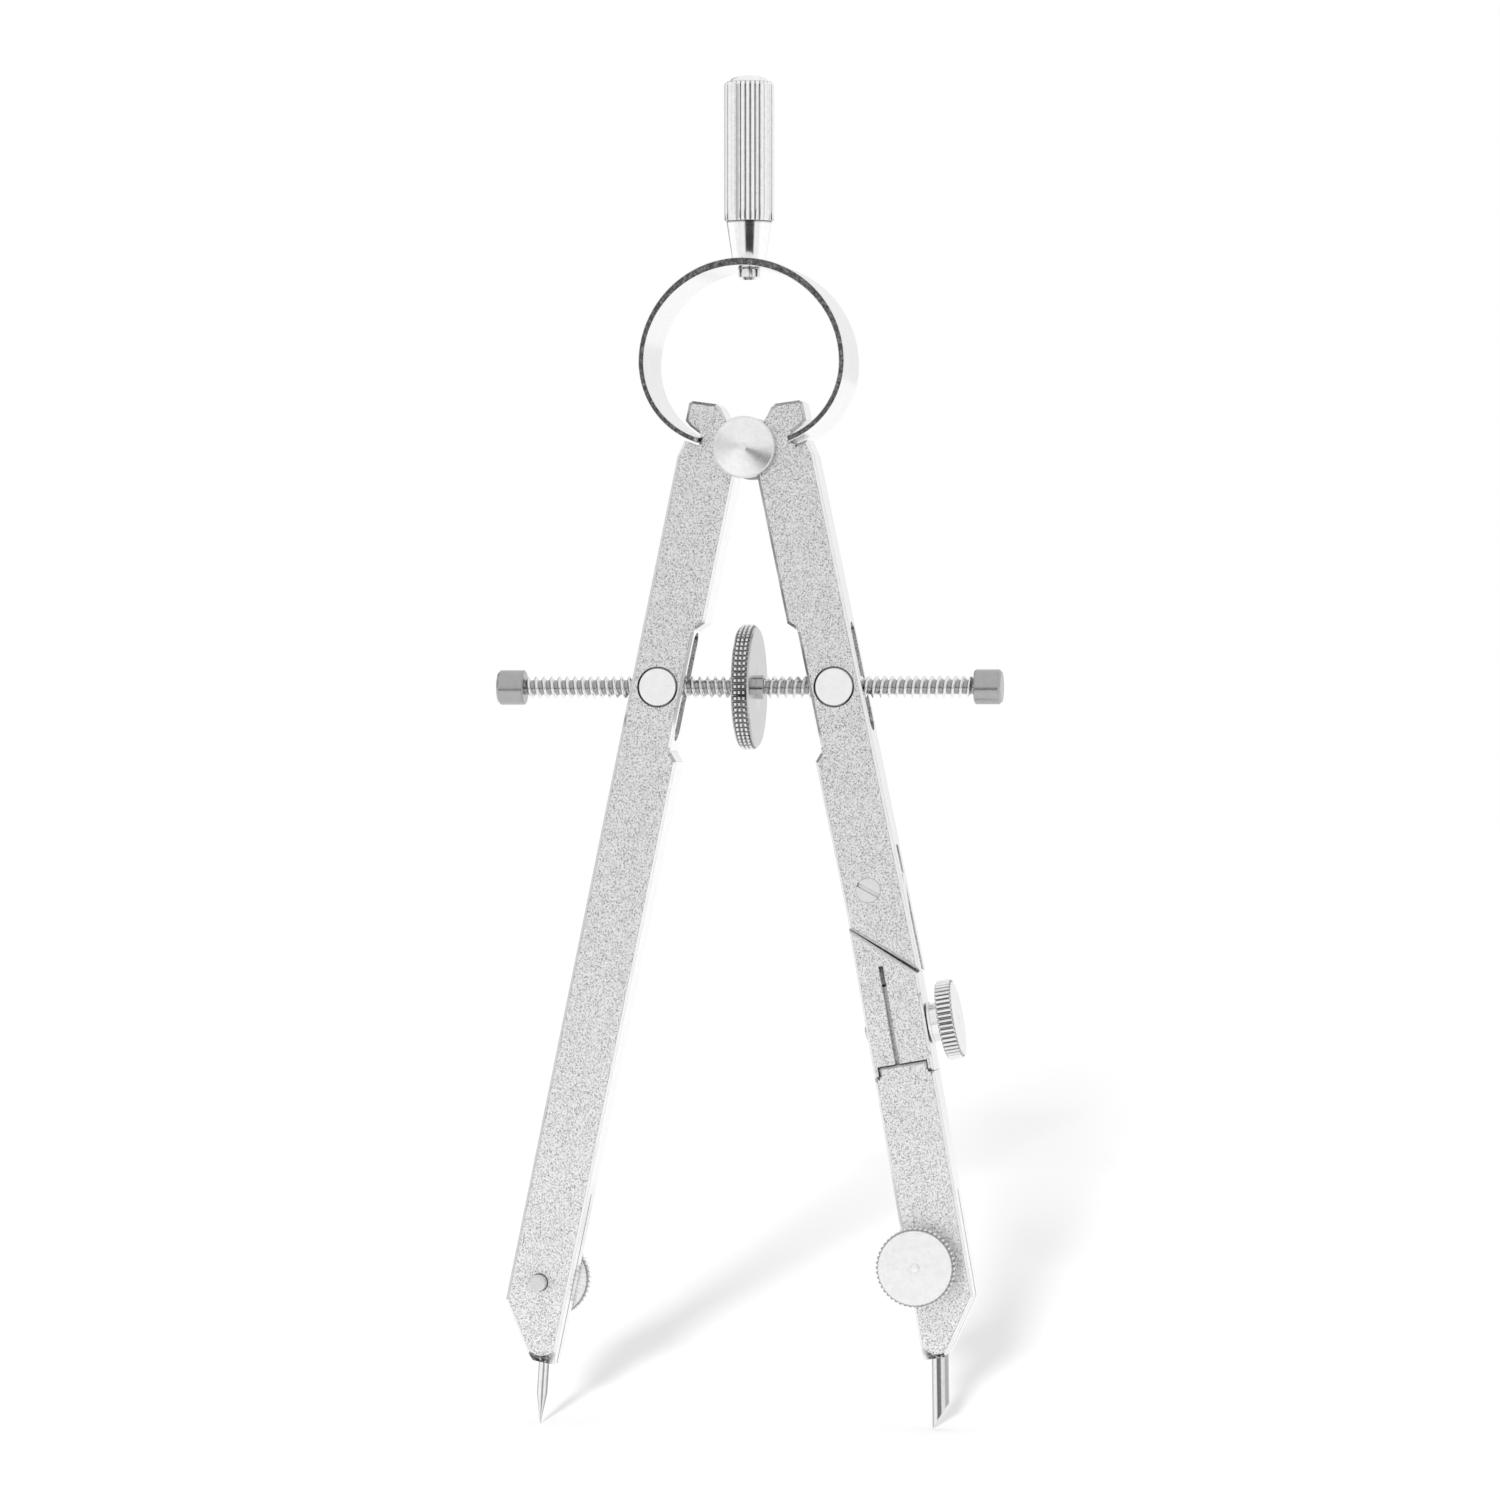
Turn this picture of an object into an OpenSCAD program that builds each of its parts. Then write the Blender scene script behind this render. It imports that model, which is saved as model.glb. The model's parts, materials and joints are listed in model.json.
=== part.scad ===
// Drawing compass of the spring bow kind: a needle leg and a pencil leg bear on a hinge
// roller, a flat ring spring presses them together, and a centre-wheel screw spreads them.
// Millimetres, +Z up. The front faces -Y. The origin lies on the paper straight below the
// handle, and the needle point touches the paper at Z = 0.
//
// Leg space: u runs outward from the hinge axis and v runs down the leg from it, so every
// leg feature is a pair (u, v). It is drawn in the XZ plane as X = u, Z = -v.

/* [Stance] */
// height of the hinge axis above the paper
pivot_z = 115.1; // [100:0.1:130]
// lean of each leg away from the vertical, in degrees
leg_tilt = 11.7; // [5:0.1:25]
// inward bend of the pencil leg's knee in this stance, in degrees
knee_bend = 1.8; // [0:0.1:10]

/* [Handle] */
// diameter over the flutes
grip_d = 5.9; // [4:0.1:10]
// length of the fluted part
grip_len = 16.4; // [10:0.1:30]
// number of flutes
grip_flutes = 30; // [16:1:48]
// depth of each flute
flute_depth = 0.26; // [0.1:0.02:0.5]
// diameter of the tapered neck where it meets the ring
neck_d = 3.9; // [2:0.1:6]
// height of the tapered neck
neck_len = 4.6; // [2:0.1:10]
// diameter of the rivet head inside the ring
rivet_head_d = 2.6; // [2:0.1:4]

/* [Ring spring] */
// height of the ring's centre above the paper
ring_z = 125; // [115:0.1:140]
// outer radius of the upper half
ring_r = 12.2; // [8:0.1:20]
// how far each lower arc's centre is shifted to its own side
ring_shift = 2.24; // [0:0.02:4]
// angle each lower arc runs below the horizontal, in degrees
ring_wrap = 70; // [50:1:80]
// thickness of the band at the top
ring_t_top = 0.95; // [0.5:0.05:2]
// thickness of the band at the sides
ring_t_side = 0.65; // [0.4:0.05:1.5]
// width of the band, front to back
ring_width = 11.7; // [6:0.1:20]

/* [Hinge] */
// radius of the roller that the legs bear on
roller_r = 2.0; // [1:0.05:3]
// diameter of the two flanges
flange_d = 7.25; // [5:0.05:10]
// distance of each flange's rim from the middle plane
flange_rim_y = 4.0; // [3:0.1:6]
// height of the cone on each flange
flange_cone = 1.1; // [0.2:0.1:3]
// radius of the pin through the roller
hinge_pin_r = 0.8; // [0.5:0.05:1.5]

/* [Legs] */
// thickness, front to back
leg_t = 5.4; // [3:0.1:8]
// distance from the hinge axis to the inner edge
leg_in = 0.65; // [0:0.05:2]
// distance from the hinge axis to the outer edge
leg_out = 7.75; // [5:0.05:12]
// width of the polished bevels
bevel = 0.3; // [0:0.05:0.8]
// depth of the inner recess that clears the wheel
recess = 1.0; // [0:0.1:2]
// start and end of the recess, down the leg
recess_v = [21.25, 37.8]; // [10:0.05:60]
// width of the clamping slit
slit = 0.36; // [0.2:0.02:0.8]
// where the clamping slit starts, down the leg
slit_v = 90; // [80:0.5:100]
// radius of the turned nose at its end
nose_r = 2.4; // [2.2:0.05:3]

/* [Adjusting screw] */
// radius from the hinge axis to each swivel nut
nut_reach = 30; // [20:0.5:45]
// angle of the nut's radius to the vertical, in degrees
nut_angle = 20.46; // [10:0.01:30]
// diameter of the swivel nuts
nut_d = 4.7; // [3:0.1:7]
// crest diameter of the thread
thread_d = 2.6; // [2:0.1:4]
// root diameter of the thread
thread_root_d = 1.7; // [1:0.05:3]
// distance from one thread crest to the next
thread_pitch = 0.936; // [0.5:0.001:1.5]
// half the length over the end caps
spindle_half = 30; // [20:0.5:50]
// end cap diameter
cap_d = 4.1; // [3:0.1:6]
// end cap length
cap_len = 3.2; // [2:0.1:6]
// wheel diameter
wheel_d = 14.8; // [10:0.1:25]
// wheel thickness
wheel_t = 2.1; // [1:0.1:5]
// teeth of the wheel's knurl
wheel_teeth = 66; // [24:1:90]
// half the length of the wheel's hub
hub_half = 1.9; // [1.2:0.1:3]
// width of the leg slots that the screw passes through
screw_slot_w = 3.0; // [2.6:0.1:4]
// start and end of those slots, down the leg
screw_slot_v = [22.5, 35.5]; // [10:0.5:60]

/* [Clamp knobs] */
// diameter of the knurled discs
knob_d = 9.4; // [6:0.1:14]
// thickness of the knurled discs
knob_t = 1.95; // [1:0.05:3]
// diameter of the collar behind a disc
collar_d = 5.0; // [3:0.1:7]
// length of the collar behind a disc
collar_len = 1.5; // [0.5:0.1:4]
// radius of the clamp studs
stud_r = 1.0; // [0.6:0.05:1.6]
// number of teeth round a disc
knob_teeth = 48; // [24:1:72]

/* [Knee] */
// knee screw, outward and down the leg
knee_at = [3.72, 53.8]; // [0:0.01:80]
// knee screw head diameter
knee_head_d = 2.9; // [2:0.1:4]
// thickness of the tongue inside the fork
tongue_t = 1.4; // [0.8:0.1:2.5]
// where the fork's slot starts, down the leg
fork_v = 49.2; // [45:0.1:52]
// the slanting joint face: down the leg at the inner edge and at the outer edge
cut_v = [57.8, 64.2]; // [54:0.1:70]

/* [Pencil socket and insert] */
// bottom of the socket block, down the leg
block_end_v = 74.4; // [70:0.1:80]
// length of the block's two side cheeks below that
cheek_len = 1.4; // [0:0.1:3]
// thickness of those cheeks
cheek_t = 0.6; // [0.3:0.05:1.5]
// socket clamp screw, down the leg
socket_clamp_v = 70.3; // [66:0.1:72]
// width of the clamping slit in the front of the block
block_slit = 0.5; // [0.3:0.05:0.8]
// where that slit starts, down the leg
block_slit_v = 62.8; // [62.5:0.1:66]
// width and depth of the insert's shank
shank = [3.9, 3.7]; // [2:0.1:5]
// lead diameter
lead_d = 2.0; // [0.5:0.1:3]
// where the lead leaves the insert, outward and down the leg
lead_exit = [2.34, 109.0]; // [0:0.01:120]
// inward slant of the lead, in degrees
lead_slant = 9.2; // [0:0.1:15]
// lead length outside the insert
lead_out = 8.45; // [3:0.05:15]
// lead length inside the insert
lead_in = 20; // [10:0.5:30]
// lead clamp screw, outward and down the leg
lead_clamp_at = [2.08, 98.05]; // [0:0.01:110]

/* [Needle] */
// needle diameter
needle_d = 1.24; // [0.8:0.02:2]
// diameter of the thicker shank inside the leg
needle_shank_d = 1.8; // [0.9:0.05:2.4]
// length of the taper from the shank to the needle, below the leg
needle_shoulder = 0.5; // [0.1:0.05:1]
// where the needle leaves the leg, outward and down the leg
needle_exit = [2.26, 110.1]; // [0:0.01:120]
// inward slant of the needle, in degrees
needle_slant = 8; // [0:0.1:15]
// length of the full-width part outside the leg
needle_shaft = 4.15; // [1:0.05:8]
// length of the point
needle_point = 3.6; // [1:0.05:6]
// needle length inside the leg
needle_in = 6.6; // [3:0.1:12]
// needle clamp screw, outward and down the leg
needle_clamp_at = [4.2, 101.2]; // [0:0.01:110]

/* [Output] */
// which part to draw

/* [Hidden] */
$fn = 64;

steel = [0.80, 0.80, 0.79];
bright = [0.90, 0.90, 0.89];
dark_steel = [0.45, 0.45, 0.46];
graphite = [0.20, 0.20, 0.21];

gap = 0.05;              // running clearance at the sides of moving pieces
past = 0.5;              // how far a cutting tool runs past a face
face_y = leg_t/2;        // distance of the leg faces from the middle plane
ring_top_z = ring_z + ring_r;
grip_z = ring_top_z + neck_len;
grip_top_z = grip_z + grip_len;
grip_core_r = grip_d/2 - flute_depth - 0.04;

ring_in_r = ring_r - ring_t_side;
ring_in_drop = ring_t_top - ring_t_side;
ring_side_in = sqrt(ring_in_r*ring_in_r - ring_in_drop*ring_in_drop);

nut_u = nut_reach*sin(nut_angle - leg_tilt);
nut_v = nut_reach*cos(nut_angle - leg_tilt);
nut_x = nut_reach*sin(nut_angle);
spindle_z = pivot_z - nut_reach*cos(nut_angle);
core_r = 0.38;

mid_u = (leg_in + leg_out)/2;
bore_clear = 0.06;       // radial clearance of clamp studs, lead and needle in their holes
knob_back_y = face_y + 0.1;

// the head of a leg, from the outer edge over the horn to the inner edge, as (u, v)
head = [
    [leg_out, 2.6], [7.58, 1.86], [7.29, 0.66],       // shoulder below the ring's end
    [5.5, 0.98], [5.5, -0.42], [7.0, -1.13],          // notch that takes the ring's end
    [7.65, -1.66], [7.66, -3.75], [7.3, -4.1],        // horn, outer side
    [4.48, -4.29], [3.87, -3.94], [2.97, -2.75],      // horn, top and inner side
    [leg_in, -0.6]
];
// the inner edge from the hinge to below the wheel recess
inner_edge = [
    [leg_in, recess_v[0]], [leg_in + recess, recess_v[0] + recess],
    [leg_in + recess, recess_v[1] - 1.1*recess], [leg_in, recess_v[1]]
];

// ---- places ----

module right_leg_space() {
    translate([0, 0, pivot_z])
        rotate([0, -leg_tilt, 0])
            children();
}

// the left leg is the right one turned about the handle's axis, so its front is at +Y here
module left_leg_space() {
    rotate([0, 0, 180])
        right_leg_space()
            children();
}

// the part of the pencil leg below the knee swings about the knee screw
module below_knee_space() {
    right_leg_space()
        translate([knee_at[0], 0, -knee_at[1]])
            rotate([0, knee_bend, 0])
                translate([-knee_at[0], 0, knee_at[1]])
                    children();
}

// moves to (u, v) in leg space
module at_uv(p) {
    translate([p[0], 0, -p[1]])
        children();
}

// a cylinder along Y between two depths
module y_rod(r, y0, y1) {
    translate([0, y1, 0])
        rotate([90, 0, 0])
            cylinder(r = r, h = y1 - y0);
}

// a cylinder along X between two stations
module x_rod(r, x0, x1) {
    translate([x0, 0, 0])
        rotate([0, 90, 0])
            cylinder(r = r, h = x1 - x0);
}

// a rectangular block between two corners
module block(a, b) {
    translate(a)
        cube([b[0] - a[0], b[1] - a[1], b[2] - a[2]]);
}

// ---- plates with bevelled edges ----

// a plate about the middle plane whose outline is a list of (u, v) points
module plate(outline, thick) {
    rotate([90, 0, 0])
        linear_extrude(height = thick, center = true)
            polygon([for (p = outline) [p[0], -p[1]]]);
}

// true where the outline turns left, which is an outward corner
function outward(a, b, c) =
    (b[0] - a[0])*(b[1] - c[1]) - (a[1] - b[1])*(c[0] - b[0]) > 0;

// the wedge that cuts one bevel along the edge from a to b, on the front (-1) or back (1);
// it runs past an outward corner, and stops short of an inward one
module bevel_wedge(a, b, side, thick, cut, run_a, run_b) {
    dx = b[0] - a[0];
    dz = a[1] - b[1];
    length = sqrt(dx*dx + dz*dz);
    far = 0.6;
    at_uv(a)
        rotate([0, -atan2(dz, dx), 0])
            translate([-run_a, 0, 0])
                rotate([90, 0, 90])
                    linear_extrude(height = length + run_a + run_b)
                        polygon([
                            [side*(thick/2 + far), cut + far],
                            [side*(thick/2 - cut - far), -far],
                            [side*(thick/2 + far), -far]
                        ]);
}

// a plate with both faces bevelled along every edge of its outline; neighbouring bevels
// differ by a hair, so that four faces never meet in one point
module bevelled_plate(outline, thick) {
    n = len(outline);
    difference() {
        plate(outline, thick);
        for (i = [0 : n - 1]) {
            a = outline[i];
            b = outline[(i + 1) % n];
            cut = bevel + 0.012*(i == n - 1 ? 2 : i % 2);
            run_a = outward(outline[(i + n - 1) % n], a, b) ? 0.5 : -bevel;
            run_b = outward(a, b, outline[(i + 2) % n]) ? 0.5 : -bevel;
            for (side = [-1, 1])
                bevel_wedge(a, b, side, thick, cut, run_a, run_b);
        }
    }
}

// ---- turned pieces ----

// the outline of a round bar with v-shaped teeth
function toothed(r, depth, count) = [
    for (i = [0 : 2*count - 1])
        let (a = 180*i/count, at = i % 2 == 0 ? r : r - depth)
            [at*cos(a), at*sin(a)]
];

// a toothed disc with plain chamfered rims, standing on Z = 0
module knurled_disc(d, t, depth, count, rim) {
    core = d/2 - depth - 0.04;
    cylinder(r1 = core - rim, r2 = core, h = rim);
    translate([0, 0, rim])
        linear_extrude(height = t - 2*rim)
            polygon(toothed(d/2, depth, count));
    translate([0, 0, t - rim])
        cylinder(r1 = core, r2 = core - rim, h = rim);
}

// a clamp knob along +Z with its collar's end on Z = 0 and a blind hole for the stud
module clamp_knob() {
    difference() {
        union() {
            cylinder(d = collar_d, h = collar_len);
            translate([0, 0, collar_len])
                knurled_disc(knob_d, knob_t, 0.22, knob_teeth, 0.3);
        }
        translate([0, 0, -past])
            cylinder(r = stud_r, h = collar_len + 0.6*knob_t + past);
        translate([0, 0, collar_len + knob_t - 0.15])
            difference() {
                cylinder(r = 0.68, h = 1);
                translate([0, 0, -past])
                    cylinder(r = 0.55, h = 3);
            }
    }
}

// a clamp stud along +Z between two heights, with a chamfered free end at the bottom
module clamp_stud(z0, z1) {
    translate([0, 0, z0])
        cylinder(r1 = stud_r - 0.25, r2 = stud_r, h = 0.25);
    translate([0, 0, z0 + 0.25])
        cylinder(r = stud_r, h = z1 - z0 - 0.25);
}

// ---- handle, ring and hinge ----

module handle_grip() {
    color(bright)
        difference() {
            union() {
                translate([0, 0, ring_top_z - 0.3])
                    cylinder(d1 = neck_d, r2 = grip_core_r, h = neck_len + 0.3);
                translate([0, 0, grip_z])
                    linear_extrude(height = grip_len)
                        polygon(toothed(grip_d/2, flute_depth, grip_flutes));
                translate([0, 0, grip_top_z])
                    rotate_extrude()
                        polygon([
                            [0, -0.1], [grip_core_r, -0.1], [grip_core_r, 0],
                            [2.3, 0.18], [1.9, 0.45], [1.45, 0.62], [0.9, 0.7], [0, 0.7]
                        ]);
            }
            translate([0, 0, ring_z])
                y_rod(ring_r, -ring_width, ring_width);
            translate([0, 0, ring_top_z - 1])
                cylinder(r = 0.8, h = 4);
        }
}

module handle_rivet() {
    head_top = ring_top_z - ring_t_top - 0.1;
    color(bright) {
        translate([0, 0, head_top - 1.3])
            cylinder(d1 = rivet_head_d - 0.7, d2 = rivet_head_d, h = 0.35);
        translate([0, 0, head_top - 0.95])
            cylinder(d = rivet_head_d, h = 0.95);
        translate([0, 0, head_top])
            cylinder(r = 0.77, h = 3.6);
    }
}

// one lower arc of the ring, on the +X side
module ring_lower_arc() {
    far = 3*ring_r;
    translate([ring_shift, 0, 0])
        intersection() {
            difference() {
                y_rod(ring_r - ring_shift, -ring_width/2, ring_width/2);
                y_rod(ring_side_in - ring_shift, -ring_width, ring_width);
            }
            rotate([90, 0, 0])
                linear_extrude(height = 2*ring_width, center = true)
                    polygon([[0, 0], [far*cos(ring_wrap), -far*sin(ring_wrap)], [far, -far], [far, 0]]);
        }
}

module spring_ring() {
    color(dark_steel)
        translate([0, 0, ring_z])
            difference() {
                union() {
                    difference() {
                        y_rod(ring_r, -ring_width/2, ring_width/2);
                        translate([0, 0, -ring_in_drop])
                            y_rod(ring_in_r, -ring_width, ring_width);
                        block([-2*ring_r, -ring_width, -2*ring_r], [2*ring_r, ring_width, 0]);
                    }
                    ring_lower_arc();
                    mirror([1, 0, 0])
                        ring_lower_arc();
                }
                translate([0, 0, ring_r - 2])
                    cylinder(r = 0.8, h = 3);
            }
}

module hinge_roller() {
    color(bright)
        translate([0, 0, pivot_z])
            difference() {
                y_rod(roller_r, -face_y - gap, face_y + gap);
                y_rod(hinge_pin_r, -2*face_y, 2*face_y);
            }
}

module hinge_pin() {
    color(steel)
        translate([0, 0, pivot_z])
            y_rod(hinge_pin_r, -flange_rim_y + 0.4, flange_rim_y + flange_cone);
}

// a flange facing -Y, with a blind or a through hole for the pin
module flange(hole_to) {
    translate([0, 0, pivot_z])
        difference() {
            union() {
                y_rod(flange_d/2, -flange_rim_y, -face_y - gap);
                translate([0, -flange_rim_y, 0])
                    rotate([90, 0, 0])
                        cylinder(d1 = flange_d - 0.3, d2 = 1.0, h = flange_cone);
            }
            y_rod(hinge_pin_r, -hole_to, 0);
        }
}

module hinge_front_flange() {
    color(bright)
        flange(flange_rim_y - 0.4);
}

module hinge_rear_flange() {
    color(bright)
        mirror([0, 1, 0])
            flange(flange_rim_y + 2*flange_cone);
}

// ---- legs ----

// what both legs have cut out: hinge seat, swivel nut bore and screw slot
module shared_leg_cuts() {
    slot_r = screw_slot_w/2;
    y_rod(roller_r + gap, -leg_t, leg_t);
    at_uv([nut_u, nut_v])
        y_rod(nut_d/2 + gap, -leg_t, leg_t);
    for (v = [screw_slot_v[0] + slot_r, screw_slot_v[1] - slot_r])
        at_uv([0, v])
            x_rod(slot_r, leg_in - 1, leg_out + 1);
    block([leg_in - 1, -slot_r, -screw_slot_v[1] + slot_r],
          [leg_out + 1, slot_r, -screw_slot_v[0] - slot_r]);
}

// the lower end of a leg or insert: nose and long outer chamfer, as (u, v)
function nose(end_v) = [
    [leg_in, end_v], [3.2, end_v], [4.05, end_v - 1.0], [leg_out, end_v - 6.4]
];

// all that is outside a cone about a slanting lead or needle, cut off so that the nose is turned
module nose_turning(mouth, slant) {
    steep = 0.65;
    below = 2;
    above = 3;
    at_uv(mouth)
        rotate([0, slant, 0])
            translate([0, 0, -below])
                difference() {
                    cylinder(r = 6, h = below + above);
                    translate([0, 0, -1])
                        cylinder(
                            r1 = nose_r - (below + 1)*steep,
                            r2 = nose_r + (above + 1)*steep,
                            h = below + above + 2);
                }
}

// the thin slit at mid-thickness that lets a clamp close the two halves
module clamp_slit(end_v) {
    block([leg_in - 1, -slit/2, -end_v - 1], [leg_out + 1, slit/2, -slit_v]);
}

// a hole along a slanting lead or needle, from outside the mouth inward
module slant_hole(mouth, slant, r, deep) {
    at_uv(mouth)
        rotate([0, slant, 0])
            translate([0, 0, -2])
                cylinder(r = r, h = deep + 2);
}

module needle_leg() {
    end_v = needle_exit[1] + 0.3;
    color(steel)
        left_leg_space()
            difference() {
                bevelled_plate(concat(head, inner_edge, nose(end_v)), leg_t);
                shared_leg_cuts();
                clamp_slit(end_v);
                slant_hole(needle_exit, needle_slant, needle_shank_d/2 + 0.04, needle_in + 0.7);
                nose_turning(needle_exit, needle_slant);
                at_uv(needle_clamp_at)
                    y_rod(stud_r + bore_clear, -leg_t, leg_t);
            }
}

module pencil_leg() {
    color(steel)
        right_leg_space()
            difference() {
                bevelled_plate(
                    concat(head, inner_edge, [[leg_in, cut_v[0]], [leg_out, cut_v[1]]]), leg_t);
                shared_leg_cuts();
                block([leg_in - 1, -tongue_t/2 - gap, -cut_v[1] - 1],
                      [leg_out + 1, tongue_t/2 + gap, -fork_v]);
                at_uv(knee_at) {
                    y_rod(knee_head_d/2, -leg_t, -1.3);
                    y_rod(0.9, -leg_t, leg_t);
                }
            }
}

module swivel_nut() {
    translate([nut_x, 0, spindle_z])
        difference() {
            union() {
                y_rod(nut_d/2, -face_y + 0.2, face_y - 0.2);
                for (side = [0, 1])
                    mirror([0, side, 0])
                        translate([0, -face_y + 0.2, 0])
                            rotate([90, 0, 0])
                                cylinder(r1 = nut_d/2, r2 = nut_d/2 - 0.2, h = 0.25);
            }
            x_rod(thread_d/2 + gap, -nut_d, nut_d);
        }
}

module left_swivel_nut() {
    color(bright)
        mirror([1, 0, 0])
            swivel_nut();
}

module right_swivel_nut() {
    color(bright)
        swivel_nut();
}

// ---- adjusting screw ----

// half of the screw on the +X side: plain seat in the wheel, thread, plain seat in the cap
module screw_half() {
    thread_end = spindle_half - cap_len;
    crests = floor((thread_end - hub_half)/thread_pitch);
    crest_r = thread_d/2;
    root_r = thread_root_d/2;
    start = thread_end - crests*thread_pitch;
    translate([0, 0, spindle_z])
        rotate([0, 90, 0])
            difference() {
                rotate_extrude()
                    polygon(concat(
                        [[0, gap], [crest_r - 0.08, gap], [crest_r - 0.08, start - 0.2], [root_r, start]],
                        [for (i = [0 : crests - 1], k = [0 : 2])
                            [k == 0 ? root_r : crest_r,
                             start + (i + [0.1, 0.42, 0.58][k])*thread_pitch]],
                        [[root_r, thread_end - 0.05], [root_r, spindle_half - 0.7], [0, spindle_half - 0.7]]
                    ));
                translate([0, 0, -1])
                    cylinder(r = core_r + gap, h = spindle_half - 0.5);
            }
}

module right_screw() {
    color(bright)
        screw_half();
}

module left_screw() {
    color(bright)
        mirror([1, 0, 0])
            screw_half();
}

module spindle_core() {
    color(steel)
        translate([0, 0, spindle_z])
            x_rod(core_r, -spindle_half + 1.7, spindle_half - 1.7);
}

module centre_wheel() {
    color(bright)
        translate([0, 0, spindle_z])
            rotate([0, 90, 0])
                difference() {
                    union() {
                        translate([0, 0, -wheel_t/2])
                            knurled_disc(wheel_d, wheel_t, 0.25, wheel_teeth, 0.25);
                        translate([0, 0, -hub_half])
                            cylinder(r = 1.4, h = 2*hub_half);
                    }
                    translate([0, 0, -5])
                        cylinder(r = thread_d/2 - 0.08, h = 10);
                }
}

// an end cap on the +X side
module end_cap() {
    translate([spindle_half - cap_len, 0, spindle_z])
        rotate([0, 90, 0])
            difference() {
                union() {
                    cylinder(d1 = cap_d - 0.3, d2 = cap_d, h = 0.15);
                    translate([0, 0, 0.15])
                        cylinder(d = cap_d, h = cap_len - 0.45);
                    translate([0, 0, cap_len - 0.3])
                        cylinder(d1 = cap_d, d2 = cap_d - 0.6, h = 0.3);
                }
                translate([0, 0, -1])
                    cylinder(d = thread_root_d, h = cap_len + 0.3);
            }
}

module right_end_cap() {
    color(bright)
        end_cap();
}

module left_end_cap() {
    color(bright)
        mirror([1, 0, 0])
            end_cap();
}

// ---- knee and pencil socket ----

module knee_screw() {
    color(bright)
        right_leg_space()
            at_uv(knee_at)
                difference() {
                    union() {
                        y_rod(knee_head_d/2, -face_y - 0.05, -1.3);
                        y_rod(0.9, -1.3, face_y + 0.05);
                    }
                    rotate([0, 40, 0])
                        block([-3, -leg_t, -0.22], [3, -face_y + 0.45, 0.22]);
                }
}

module socket_block() {
    lip = 0.04;
    swing_r = 4.2;
    cavity_top = -65;
    cavity = [shank[0]/2 + gap, shank[1]/2 + gap];
    body = [
        [leg_in, cut_v[0] + lip], [leg_in, block_end_v + cheek_len],
        [leg_out, block_end_v + cheek_len], [leg_out, cut_v[1] + lip]
    ];
    tongue_low = [
        [leg_in, knee_at[1]], [leg_in, cut_v[0] + 2], [leg_out, cut_v[1] + 2], [leg_out, knee_at[1]]
    ];
    color(steel)
        below_knee_space()
            difference() {
                union() {
                    bevelled_plate(body, leg_t);
                    plate(tongue_low, tongue_t);
                    intersection() {
                        at_uv(knee_at)
                            y_rod(swing_r, -tongue_t/2, tongue_t/2);
                        block([leg_in, -leg_t, -knee_at[1] - 1], [leg_out, leg_t, -fork_v + 2]);
                    }
                }
                at_uv(knee_at)
                    y_rod(0.95, -leg_t, leg_t);
                block([leg_in + cheek_t, -leg_t, -block_end_v - 5], [leg_out - cheek_t, leg_t, -block_end_v]);
                block([mid_u - cavity[0], -cavity[1], -block_end_v - 1],
                      [mid_u + cavity[0], cavity[1], cavity_top]);
                block([3.65 - block_slit/2, -leg_t, -block_end_v - 1],
                      [3.65 + block_slit/2, 0, -block_slit_v]);
                at_uv([0, socket_clamp_v])
                    x_rod(stud_r + bore_clear, leg_in - 1, leg_out + 1);
            }
}

module socket_clamp_knob() {
    color(bright)
        below_knee_space()
            at_uv([leg_out + 0.1, socket_clamp_v])
                rotate([0, 90, 0])
                    clamp_knob();
}

module socket_clamp_stud() {
    color(bright)
        below_knee_space()
            at_uv([leg_out + 0.1, socket_clamp_v])
                rotate([0, 90, 0])
                    clamp_stud(leg_in - leg_out - 0.55, collar_len + 0.5*knob_t);
}

module lead_insert() {
    end_v = lead_exit[1];
    neck_in = leg_in + cheek_t + gap;
    neck_out = leg_out - cheek_t - gap;
    shoulder = block_end_v + cheek_len + gap;
    tine_gap = 2*stud_r + 0.2;
    outline = concat(
        [[neck_out, shoulder], [neck_out, block_end_v + gap],
         [neck_in, block_end_v + gap], [neck_in, shoulder], [leg_in, shoulder]],
        nose(end_v),
        [[leg_out, shoulder]]
    );
    color(steel)
        below_knee_space()
            difference() {
                union() {
                    bevelled_plate(outline, leg_t);
                    block([mid_u - shank[0]/2, -shank[1]/2, -block_end_v - 1],
                          [mid_u + shank[0]/2, shank[1]/2, -65.2]);
                }
                block([0, -tine_gap/2, -block_end_v + 0.6], [9, tine_gap/2, -60]);
                clamp_slit(end_v);
                slant_hole(lead_exit, lead_slant, lead_d/2 + 0.04, lead_in + 2.5);
                nose_turning(lead_exit, lead_slant);
                at_uv(lead_clamp_at)
                    y_rod(stud_r + bore_clear, -leg_t, leg_t);
            }
}

module lead_clamp_knob() {
    color(bright)
        below_knee_space()
            at_uv(lead_clamp_at)
                translate([0, -knob_back_y, 0])
                    rotate([90, 0, 0])
                        clamp_knob();
}

module lead_clamp_stud() {
    color(bright)
        below_knee_space()
            at_uv(lead_clamp_at)
                translate([0, -knob_back_y, 0])
                    rotate([90, 0, 0])
                        clamp_stud(-leg_t - 0.1, collar_len + 0.5*knob_t);
}

module lead() {
    slice = 3.0;
    color(graphite)
        below_knee_space()
            at_uv(lead_exit)
                rotate([0, lead_slant, 0])
                    difference() {
                        translate([0, 0, -lead_out])
                            cylinder(d = lead_d, h = lead_out + lead_in);
                        translate([-lead_d/2, 0, -lead_out])
                            rotate([0, atan(lead_d/slice), 0])
                                block([0, -3, -3], [5, 3, 9]);
                    }
}

// ---- needle ----

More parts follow.
